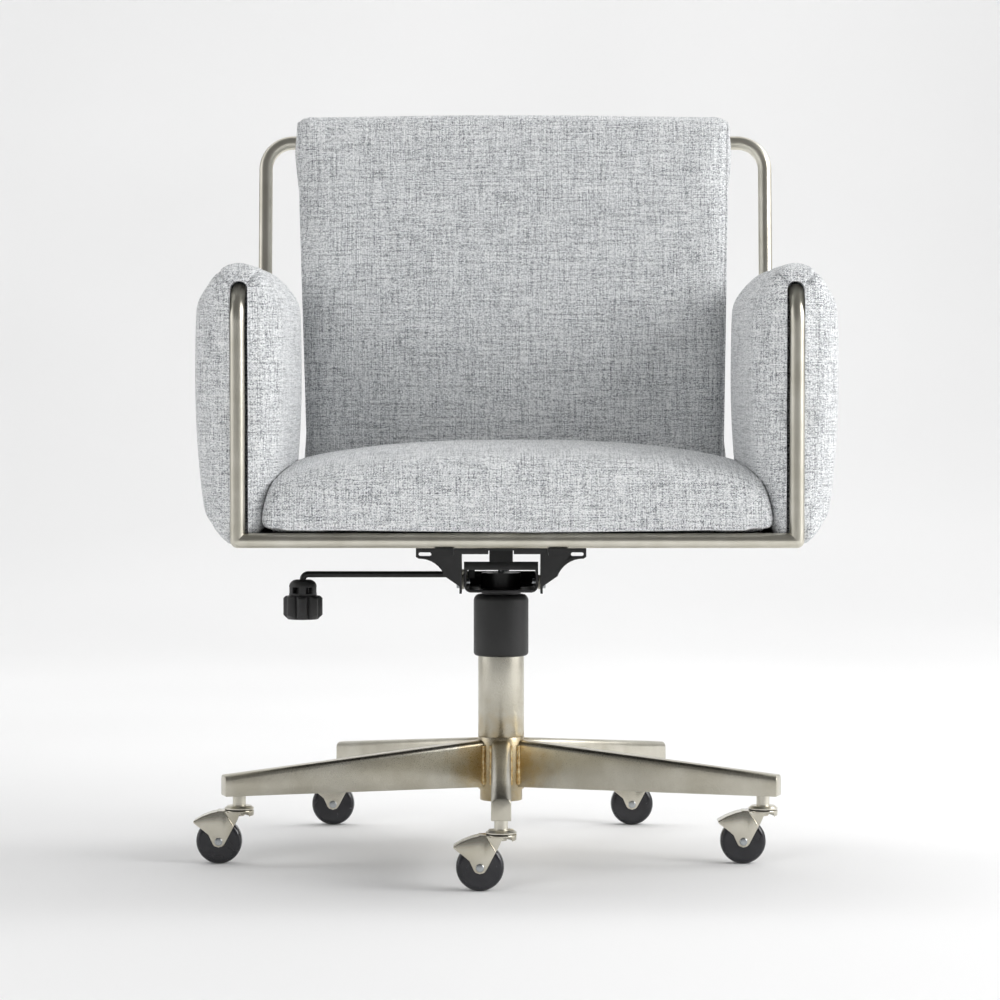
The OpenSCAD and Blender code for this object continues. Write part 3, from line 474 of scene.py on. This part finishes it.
def pressed(name, corners, half_width, edge):
    """A solid with this side outline in millimetres, centred on the stem."""
    side = primitive("circle", name, vertices=len(corners), fill_type="NGON", radius=10 * MM)
    put(side, np.array([(stem_at.x + x * MM, stem_at.y - half_width, z * MM) for x, z in corners]))
    edit(side)
    bpy.ops.mesh.select_all(action="SELECT")
    bpy.ops.mesh.extrude_region_move(TRANSFORM_OT_translate={"value": (0, 2 * half_width, 0)})
    done(side, outward=True)
    return modify(side, "BEVEL", width=edge, segments=3, limit_method="ANGLE",
                  angle_limit=math.radians(60))


cheek_w = wheel_high.y - stem_at.y + 2.2 * MM
sheet_t = 1.8 * MM
hood = pressed("hood_pattern", [
    (-16, 58.8), (-21, 58.6), (-30, 56.6), (-40, 52.8), (-50, 47.2), (-49.2, 45.2), (-42, 39.5),
    (-33, 32), (-28.6, 22), (-26.6, 19.7), (-22, 18.2), (-17.4, 19.7), (-15.2, 22.4), (-5.2, 41.6),
    (-6.5, 44.2)], cheek_w, 1.1 * MM)
neck = pressed("neck_pattern", [
    (-24, 58.8), (-10, 40.5), (-5.2, 41.4), (-3.2, 45), (0.5, 53.5), (3, 56.5), (3, 58.8)],
    cheek_w - 1.4 * MM, 0.8 * MM)
well = primitive("cylinder", "wheel_well", vertices=64, radius=wheel_size + 6 * MM,
                 depth=2 * (cheek_w - sheet_t), location=axle_at, rotation=(math.pi / 2, 0, 0))
for piece in (hood, neck):
    modify(piece, "BOOLEAN", operation="DIFFERENCE", object=well)
bpy.data.objects.remove(well)
plate_r, plate_t, lip_drop = 16.3 * MM, 2.4 * MM, 3.6 * MM
plate = primitive("cylinder", "plate_pattern", vertices=64, radius=plate_r, depth=plate_t,
                  location=(stem_at.x, stem_at.y, plate_z - plate_t / 2))
edit(plate)
choose(plate, "verts", lambda at, v: at.z < plate_z - 2 * MM and at.x > stem_at.x + 12 * MM)
bpy.ops.transform.translate(value=(-0.6 * MM, 0, -lip_drop))
done(plate)
modify(plate, "BEVEL", width=0.6 * MM, segments=2, limit_method="ANGLE", angle_limit=math.radians(40))
take(hood)
neck.select_set(True)
plate.select_set(True)
bpy.ops.object.join()
smooth(hood)
wheel = primitive("cylinder", "wheel_pattern", vertices=72, radius=wheel_size,
                  depth=wheel_high.y - wheel_low.y, location=axle_at, rotation=(math.pi / 2, 0, 0))
modify(wheel, "BEVEL", width=6 * MM, segments=8, limit_method="ANGLE", angle_limit=math.radians(40))
smooth(wheel)
for name in arm_names:
    low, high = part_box("caster_wheel_" + name)
    place = Matrix.Translation((low + high) / 2 - axle_at)
    fit(copy_of(hood, "caster_hood_" + name, place), "caster_" + name, caster_nickel,
        "caster_nickel", "caster_fork_" + name)
    fit(copy_of(wheel, "caster_tyre_" + name, place), "wheel_" + name, wheel_urethane,
        "caster_tread", "caster_wheel_" + name)
for pattern in (hood, wheel):
    bpy.data.objects.remove(pattern)
print("five casters")

# %% [markdown]
# ### Tension spring
# The seat presses on this spring as it tilts back. Its copy rides on the mechanism's body, with a mesh of
# its own.

# %% Tension spring
spring = copy_of(nodes["tension_spring"], "tension_spring_coil")
smooth(spring)
fit(spring, "mechanism", zinc_steel, "zinc_steel", "tension_spring")
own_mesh(spring)

# %% [markdown]
# ## The arms of the base
# Each arm is folded from sheet and ground smooth: level below, sloping above, with its two
# upper edges rolled so that its end looks like an arch. A cube is enough to start from. Its
# outer end is lowered to the tip's height, the two long upper edges are bevelled wide, the
# end's edges a little, and the rest narrowly. One arm is modelled and then copied round the hub.

# %% One arm, then five
arm_low, arm_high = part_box("base_arm_front")
arm_w = arm_high.x - arm_low.x
arm_tip_h = 23 * MM
roll_r = 6 * MM
root = -15 * MM
arm_len = root - arm_low.y
arm = primitive("cube", "arm_pattern", size=1,
                location=(0, (root + arm_low.y) / 2, (arm_low.z + arm_high.z) / 2),
                scale=(arm_w, arm_len, arm_high.z - arm_low.z))
edit(arm)
choose(arm, "verts", lambda at, v: at.y < arm_low.y + MM and at.z > arm_low.z + MM)
bpy.ops.transform.translate(value=(0, 0, arm_low.z + arm_tip_h - arm_high.z))
choose(arm, "edges", lambda at, e: abs(at.x) > 5 * MM and arm_low.y + MM < at.y < root - MM
       and at.z > arm_low.z + 2 * MM)
bpy.ops.mesh.bevel(offset=roll_r, segments=6, profile=0.5)
choose(arm, "faces", lambda at, f: f.normal.y < -0.9)
bpy.ops.mesh.bevel(offset=1.2 * MM, segments=3, affect="EDGES")
done(arm)
modify(arm, "BEVEL", width=0.8 * MM, segments=2, limit_method="ANGLE", angle_limit=math.radians(40))
smooth(arm, 30)
for k, name in enumerate(arm_names):
    turned = copy_of(arm, "arm_shell_" + name, Matrix.Rotation(math.radians(72 * k), 4, "Z"))
    fit(turned, "base", base_nickel, "satin_nickel", "base_arm_" + name)
bpy.data.objects.remove(arm)
print("five arms,", round(arm_len / MM), "mm long")

# %% [markdown]
# ## Weld beads
# A fillet weld is a row of overlapping drops, each laid a little above the last. A bead here
# is a row of flattened spheres joined by a voxel remesh, which melts them together, and it
# stands in the corner between an arm and the hub. Ten copies go round the hub.

# %% One bead, then ten
hub_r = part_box("base_hub")[1].x
bead_r = 2.3 * MM
drop_gap = 1.7 * MM
bead_z = arm_low.z + 4 * MM
drops = int((arm_high.z - arm_low.z - 8 * MM) / drop_gap)
corner_y = -math.sqrt(hub_r ** 2 - (arm_w / 2) ** 2)
beads = []
for i in range(drops):
    drop = primitive("uv_sphere", "drop", segments=12, ring_count=8, radius=bead_r,
                     location=(arm_w / 2 + 0.5 * MM, corner_y - 0.3 * MM, bead_z + i * drop_gap),
                     scale=(1 + 0.12 * math.sin(2.3 * i), 1, 0.55))
    beads.append(drop)
take(beads[0])
for drop in beads:
    drop.select_set(True)
bpy.ops.object.join()
bead = bpy.context.object
modify(bead, "REMESH", mode="VOXEL", voxel_size=0.55 * MM)
smooth(bead, 60)
weld_copies = []
for k in range(5):
    for side in (1, -1):
        turn = Matrix.Rotation(math.radians(72 * k), 4, "Z") @ Matrix.Diagonal((side, 1, 1, 1))
        weld_copies.append(copy_of(bead, "weld_copy", turn))
bpy.data.objects.remove(bead)
take(weld_copies[0])
for one in weld_copies:
    one.select_set(True)
bpy.ops.object.join()
welds = bpy.context.object
welds.name = "weld_beads"
smooth(welds, 60)
fit(welds, "base", weld_metal, "heat_tinted_weld", "hub_welds")
print("ten beads of", drops, "drops")

# %% [markdown]
# ## Cushions
# A cushion is foam in a sewn cover. The cover is cut a little small, so the foam pushes it
# round everywhere except at the seams. Each one starts as a cube at the size of its block in
# the frame. A bevel rounds the edges, a remesh gives even cloth, a move of the points gives
# the cut of the pattern, and a short cloth simulation with air pressure inside fills it. The
# movement is capped so that it keeps its size. The seams come after that.

# %% Helpers for soft pieces
def block(name, low, high, edge, voxel):
    """A block with round edges, remeshed into even squares."""
    middle = (Vector(low) + Vector(high)) / 2
    obj = primitive("cube", name, size=1, location=middle, scale=Vector(high) - Vector(low))
    modify(obj, "BEVEL", width=edge, segments=5, limit_method="NONE")
    return modify(obj, "REMESH", mode="VOXEL", voxel_size=voxel)


def inflate(obj, cap, pressure=4.0, frames=16):
    """Fills a cover with air for a few steps, lets no point go further than cap, and smooths it."""
    rest = points(obj)
    take(obj)
    cloth = obj.modifiers.new("cloth", "CLOTH")
    cloth.settings.use_pressure = True
    cloth.settings.uniform_pressure_force = pressure
    cloth.settings.effector_weights.gravity = 0
    cloth.settings.tension_stiffness = 12
    cloth.settings.quality = 4
    cloth.point_cache.frame_start = 1
    cloth.point_cache.frame_end = frames
    for step in range(1, frames + 1):
        bpy.context.scene.frame_set(step)
    bpy.ops.object.modifier_apply(modifier=cloth.name)
    bpy.context.scene.frame_set(1)
    move = points(obj) - rest
    far = np.linalg.norm(move, axis=1, keepdims=True)
    limit = np.minimum(1, cap / np.maximum(far, 1e-9))
    put(obj, rest + move * limit)
    return modify(obj, "SMOOTH", factor=0.5, iterations=3)


def crease(obj, start, end, depth, width, back_to):
    """Draws the cover in along a line seen from the front, as a sewn seam does."""
    rows = points(obj)
    normals = np.empty(len(rows) * 3)
    obj.data.vertices.foreach_get("normal", normals)
    normals = normals.reshape(-1, 3)
    a, b = np.array(start), np.array(end)
    front = rows[:, [0, 2]]
    along = np.clip((front - a) @ (b - a) / ((b - a) @ (b - a)), 0, 1)
    gap = np.linalg.norm(front - (a + along[:, None] * (b - a)), axis=1)
    pull = depth * np.exp(-(gap / width) ** 2) * (rows[:, 1] < back_to)
    put(obj, rows - normals * pull[:, None])
    return obj


def welt(obj, name, point, normal, radius):
    """A welt cord where a plane cuts the cover: the cut's outline becomes a thin tube."""
    cord = copy_of(obj, name)
    edit(cord)
    bpy.ops.mesh.select_all(action="SELECT")
    bpy.ops.mesh.bisect(plane_co=point, plane_no=normal, clear_inner=True, clear_outer=True)
    done(cord)
    take(cord)
    bpy.ops.object.convert(target="CURVE")
    cord = bpy.context.object
    cord.data.bevel_depth = radius
    cord.data.bevel_resolution = 2
    bpy.ops.object.convert(target="MESH")
    cord = bpy.context.object
    cord.name = name
    return smooth(cord, 60)


SEAT_BODY = "seat"
VOXEL = 6 * MM


def upholster(obj, stands_for):
    """Finishes a padded piece and puts it on the seat's body."""
    smooth(obj, 60)
    fit(obj, SEAT_BODY, woven_cloth, "woven_cloth", stands_for)
    print(obj.name, len(obj.data.polygons), "faces")
    return obj


# %% [markdown]
# ### Seat cushion
# Its cover is a top-and-front panel between two side panels. The front face stands nearly
# upright, rolls over at the knees and rises to a low crown. The sides fall away in a quarter
# ellipse, so that the arm pads can nestle against them. The rear leans with the back. The hem
# is drawn forward and down, over the front rail.

# %% Seat cushion
seat_low, seat_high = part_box("seat_cushion")
seat_mid = (seat_low.x + seat_high.x) / 2
seat_half = (seat_high.x - seat_low.x) / 2
LEAN = math.tan(math.radians(8))
side_in = 42 * MM
side_down = 68 * MM
knee_drop, nose_drop, rear_drop, side_drop = 21 * MM, 14 * MM, 5 * MM, 25 * MM


def seat_side(z):
    """Half the seat cushion's width at a height."""
    s = np.clip((z - (seat_high.z - side_down)) / side_down, 0, 0.995)
    return seat_half - side_in * (1 - np.sqrt(1 - s ** 2))


def cut_seat(rows):
    """The seat's pattern: the rear leans, the top crowns and the sides fall away."""
    x, y, z = rows.T.copy()
    up = (z - seat_low.z) / (seat_high.z - seat_low.z)
    across = (x - seat_mid) / seat_half
    deep = (y - seat_low.y) / (seat_high.y - seat_low.y)
    front = np.clip(1 - deep / 0.09, 0, 1)
    drop = (knee_drop * np.exp(-deep / 0.16) + nose_drop * front ** 2
            + rear_drop * np.clip(deep - 0.6, 0, 1) + side_drop * np.abs(across) ** 2.6)
    z = z - drop * np.clip(up, 0, 1) ** 1.5
    y = y - (1 - up) * deep * (seat_high.z - seat_low.z) * LEAN * 0.9
    x = seat_mid + across * seat_side(z + drop * 0.6)
    y = y + 5 * MM * across ** 6 * np.exp(-deep / 0.1)
    return np.stack([x, y, z], 1)


seat = block("seat_cushion_cover", seat_low + Vector((0.5 * MM, 0, 0.5 * MM)),
             seat_high - Vector((0.5 * MM, 4 * MM, 5 * MM)), 7 * MM, VOXEL)
put(seat, cut_seat(points(seat)))
inflate(seat, 6 * MM)
rows = points(seat)
rows[:, 2] = np.maximum(rows[:, 2], seat_low.z)
hem_h, hem_out, hem_drop = 13 * MM, 2 * MM, 3 * MM
hem = np.exp(-((rows[:, 2] - seat_low.z) / hem_h) ** 2) * (rows[:, 1] < seat_low.y + 12 * MM)
rows[:, 1] += (seat_low.y - hem_out - rows[:, 1]) * hem
rows[:, 2] -= hem_drop * hem * (rows[:, 1] < seat_low.y + 3 * MM)
put(seat, rows)
modify(seat, "SUBSURF", levels=1, render_levels=1)
for side, name in ((-1, "left"), (1, "right")):
    seam_x = seat_mid + side * (seat_half - 17 * MM)
    cord = welt(seat, "seat_seam_" + name, (seam_x, 0, 0), (1, 0, 0), 0.9 * MM)
    fit(cord, SEAT_BODY, woven_cloth, "woven_cloth")
upholster(seat, "seat_cushion")

# %% [markdown]
# ### Back cushion
# A slab that hangs over the hoop and leans with it. It is a little narrower at the seat than
# at the top. Its front is almost flat, with a slight crown, and a self welt runs round both
# sides where the front panel meets the side strips.

# %% Back cushion
hoop_low, hoop_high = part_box("back_hoop")
rail_low, rail_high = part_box("cross_rails")
tube_r = 8 * MM
hoop_foot = Vector(((hoop_low.x + hoop_high.x) / 2, rail_high.y - tube_r, rail_low.z + tube_r))
back_low, back_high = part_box("back_cushion")
back_half = (back_high.x - back_low.x) / 2
back_up = (12 * MM, 483 * MM)
back_deep = (-62 * MM, 20 * MM)
foot_share = 0.993
crown = 5 * MM
lean_over = Matrix.Translation(hoop_foot) @ Matrix.Rotation(math.radians(-8), 4, "X")


def cut_back(rows):
    """The back's pattern: narrower below, crowned in front, with a rolled top."""
    x, y, z = rows.T.copy()
    up = (z - back_up[0]) / (back_up[1] - back_up[0])
    across = x / back_half
    front = np.clip(-(y + 20 * MM) / (42 * MM), 0, 1)
    x = x * (foot_share + 0.055 * up) - 3 * MM * up
    y = y - front * crown * (1 - across ** 4) * np.sin(np.pi * np.clip(up, 0, 1))
    z = z + 2 * MM * np.clip(up - 0.9, 0, 1) * 10 * (1 - across ** 2) - 2 * MM * (up > 0.9) * across ** 2
    return np.stack([x, y, z], 1)


back = block("back_cushion_cover", (-back_half + 2 * MM, back_deep[0] + 5 * MM, back_up[0]),
             (back_half - 2 * MM, back_deep[1] - 3 * MM, back_up[1] - 3 * MM), 14 * MM, VOXEL)
put(back, cut_back(points(back)))
inflate(back, 5 * MM)
modify(back, "SUBSURF", levels=1, render_levels=1)
foot_half = (back_half - 2 * MM) * foot_share - 7 * MM
for side, name, flare in ((-1, "left", 0.0353), (1, "right", -0.0225)):
    cord = welt(back, "back_welt_" + name, (side * foot_half, 0, back_up[0]), (1, 0, flare), 1.8 * MM)
    cord.data.transform(lean_over)
    fit(cord, SEAT_BODY, woven_cloth, "woven_cloth")
back.data.transform(lean_over)
upholster(back, "back_cushion")

# %% [markdown]
# ### Arm pads
# Each pad is a thick pillow folded over the arm tube like a saddle. Its outer face is full, it
# is fullest at mid length, and its lower inner side is thin where the seat cushion presses on
# it. Rays cast at the seat's cover say how far it may reach. The front is slit from the top of
# the tube down, and the tube lies in the slit. Above the tube's bend the cover is mitred, with
# a short seam from each corner of the slit.

# %% Arm pads
pad_low, pad_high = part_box("arm_pad_right")
loop_low, loop_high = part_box("arm_loop_right")
post_x = (loop_low.x + loop_high.x) / 2
post_y = loop_low.y + tube_r
rail_z = loop_high.z - tube_r
pad_half = pad_high.x - post_x
pad_mid_z = (pad_low.z + pad_high.z) / 2 + 30 * MM
full_y = -45 * MM
bulge_r = 1080 * MM
arch_h = 50 * MM
foot_h = 26 * MM


def cut_pad(rows):
    """The right pad's pattern, with the tube's centre at x = 0 and the outside towards +X."""
    x, y, z = rows.T.copy()
    across = x / pad_half
    in_plan = (y - full_y) ** 2 / (2 * bulge_r)
    in_height = np.where(z < pad_mid_z, (z - pad_mid_z) ** 2 / (2 * bulge_r) * 1.1,
                         (z - pad_mid_z) ** 2 / (2 * bulge_r) * 0.6)
    half = pad_half - in_plan - in_height
    top = np.clip((z - (pad_high.z - arch_h)) / arch_h, 0, 1)
    half = half * np.sqrt(1 - 0.62 * top ** 2)
    foot = np.clip((pad_low.z + foot_h - z) / foot_h, 0, 1)
    half = half * np.sqrt(np.maximum(1 - foot ** 2 * 0.55, 0.05))
    x = across * half
    deep = (y - pad_low.y) / (pad_high.y - pad_low.y)
    y = y + (z - pad_high.z) * LEAN * np.clip(deep, 0, 1) ** 4
    return np.stack([x, y, z], 1)


def clear_of_seat(rows):
    """Thins the inner side to what the seat cushion leaves free, by rays cast at its cover."""
    apart = post_x - seat_mid
    clearance = 0.5 * MM
    for row in rows:
        start = Vector((seat_mid + apart + pad_half, row[1], row[2]))
        hit, place, _, _ = seat.ray_cast(start, (-1, 0, 0))
        if hit and place.x > seat_mid:
            row[0] = max(row[0], place.x + clearance - seat_mid - apart)
    return rows


pad = block("pad_pattern", (-pad_half + 6 * MM, pad_low.y + 3 * MM, pad_low.z + MM),
            (pad_half - 6 * MM, pad_high.y - 3 * MM, pad_high.z + 2 * MM), 20 * MM, 5 * MM)
put(pad, cut_pad(points(pad)))
inflate(pad, 5 * MM)
modify(pad, "SUBSURF", levels=1, render_levels=1)
put(pad, clear_of_seat(points(pad)))
mitre_top = rail_z + 0.9 * tube_r
for side in (-1, 1):
    crease(pad, (side * 8 * MM, mitre_top - 2 * MM), (side * 21 * MM, mitre_top + 13 * MM),
           3.6 * MM, 1.8 * MM, post_y + 25 * MM)

# %% The slit for the tube
slit_half = tube_r + 1.4 * MM
slit_x = -1.5 * MM
slit_low = pad_low.z - 20 * MM
slit_front, slit_back = post_y - 34 * MM, post_y + 33 * MM
slit = primitive("cube", "slit", size=1,
                 location=(slit_x, (slit_front + slit_back) / 2, (slit_low + rail_z) / 2),
                 scale=(2 * slit_half, slit_back - slit_front, rail_z - slit_low))
edit(slit)
choose(slit, "faces", lambda at, f: f.normal.z > 0.9)
bpy.ops.mesh.extrude_region_move(TRANSFORM_OT_translate={"value": (0, 0, slit_half)})
choose(slit, "edges", lambda at, e: at.z > rail_z + slit_half - 0.1 * MM and abs(at.x - slit_x) > MM)
bpy.ops.mesh.bevel(offset=slit_half * 0.95, segments=8, profile=0.5)
done(slit, outward=True)
modify(pad, "BOOLEAN", operation="DIFFERENCE", object=slit)
bpy.data.objects.remove(slit)
for side, name in ((1, "right"), (-1, "left")):
    place = Matrix.Translation((seat_mid + side * (post_x - seat_mid), 0, 0))
    placed = copy_of(pad, "arm_pad_cover_" + name, place @ Matrix.Diagonal((side, 1, 1, 1)))
    upholster(placed, "arm_pad_" + name)
bpy.data.objects.remove(pad)

# %% [markdown]
# ## The studio
# One sheet of pale paper, a soft window on the sitter's left that reaches from front to back,
# and weaker lights from above and from both sides of the camera. Only the window shows as a
# highlight. The room is white but darker above the camera, which gives round metal its shade.

# %% Paper sheet and lights
paper, shader, spot = new_finish("studio_paper")
add(paper, shader, {"Base Color": ramp(paper, grain(paper, spot, 900, 1),
                                       [(0.3, "#f0f0f0"), (0.7, "#f4f4f4")]),
                    "Roughness": 0.95, "Specular IOR Level": 0.1})
wall_y = 6
sheet = primitive("plane", "studio_sheet", size=2 * wall_y, location=(0, 0, 0))
edit(sheet)
bpy.ops.mesh.select_all(action="SELECT")
bpy.ops.transform.resize(value=(2.5, 1, 1))
choose(sheet, "edges", lambda at, e: at.y > wall_y - 0.1)
bpy.ops.mesh.extrude_region_move(TRANSFORM_OT_translate={"value": (0, 0, 9)})
choose(sheet, "edges", lambda at, e: abs(at.z) < 0.01 and at.y > wall_y - 0.1)
bpy.ops.mesh.bevel(offset=3.2, segments=24)
done(sheet)
smooth(sheet, 60)
sheet.data.materials.append(paper)


def softbox(name, place, size, watts, target=(0, 0, 0.45), mirrored=False):
    """A square area light. Only a mirrored one shows in the metal as a highlight."""
    data = bpy.data.lights.new(name, "AREA")
    data.size = size
    data.energy = watts
    lamp = bpy.data.objects.new(name, data)
    bpy.context.scene.collection.objects.link(lamp)
    lamp.location = place
    lamp.visible_glossy = mirrored
    look = Vector(target) - Vector(place)
    lamp.rotation_euler = look.to_track_quat("-Z", "Y").to_euler()
    return lamp


softbox("window_front", (3.2, -1.2, 1.8), 1.8, 68, mirrored=True)
softbox("window_back", (2.6, 1.2, 2.2), 1.8, 24, mirrored=True)
softbox("overhead", (0.2, 0.6, 3.4), 2.4, 5)
softbox("front_left", (-2.2, -3.6, 1.6), 2.2, 50)
softbox("front_right", (2.4, -3.2, 1.8), 2.2, 20)
softbox("wall_wash", (0, 2.2, 4.5), 5.0, 137, (0, 6, 1.5))
sky = bpy.data.worlds.new("studio_room")
sky.use_nodes = True
direction = add(sky, "TexCoord").outputs["Generated"]
upper_front = add(sky, "VectorMath", {0: direction, 1: (0, -0.75, 0.66)}, operation="DOT_PRODUCT")
shade = ramp(sky, upper_front.outputs["Value"], [(0.15, "#ffffff"), (0.6, "#606060")])
add(sky, sky.node_tree.nodes["Background"], {"Color": shade, "Strength": 1.43})
bpy.context.scene.world = sky
print("studio lit")
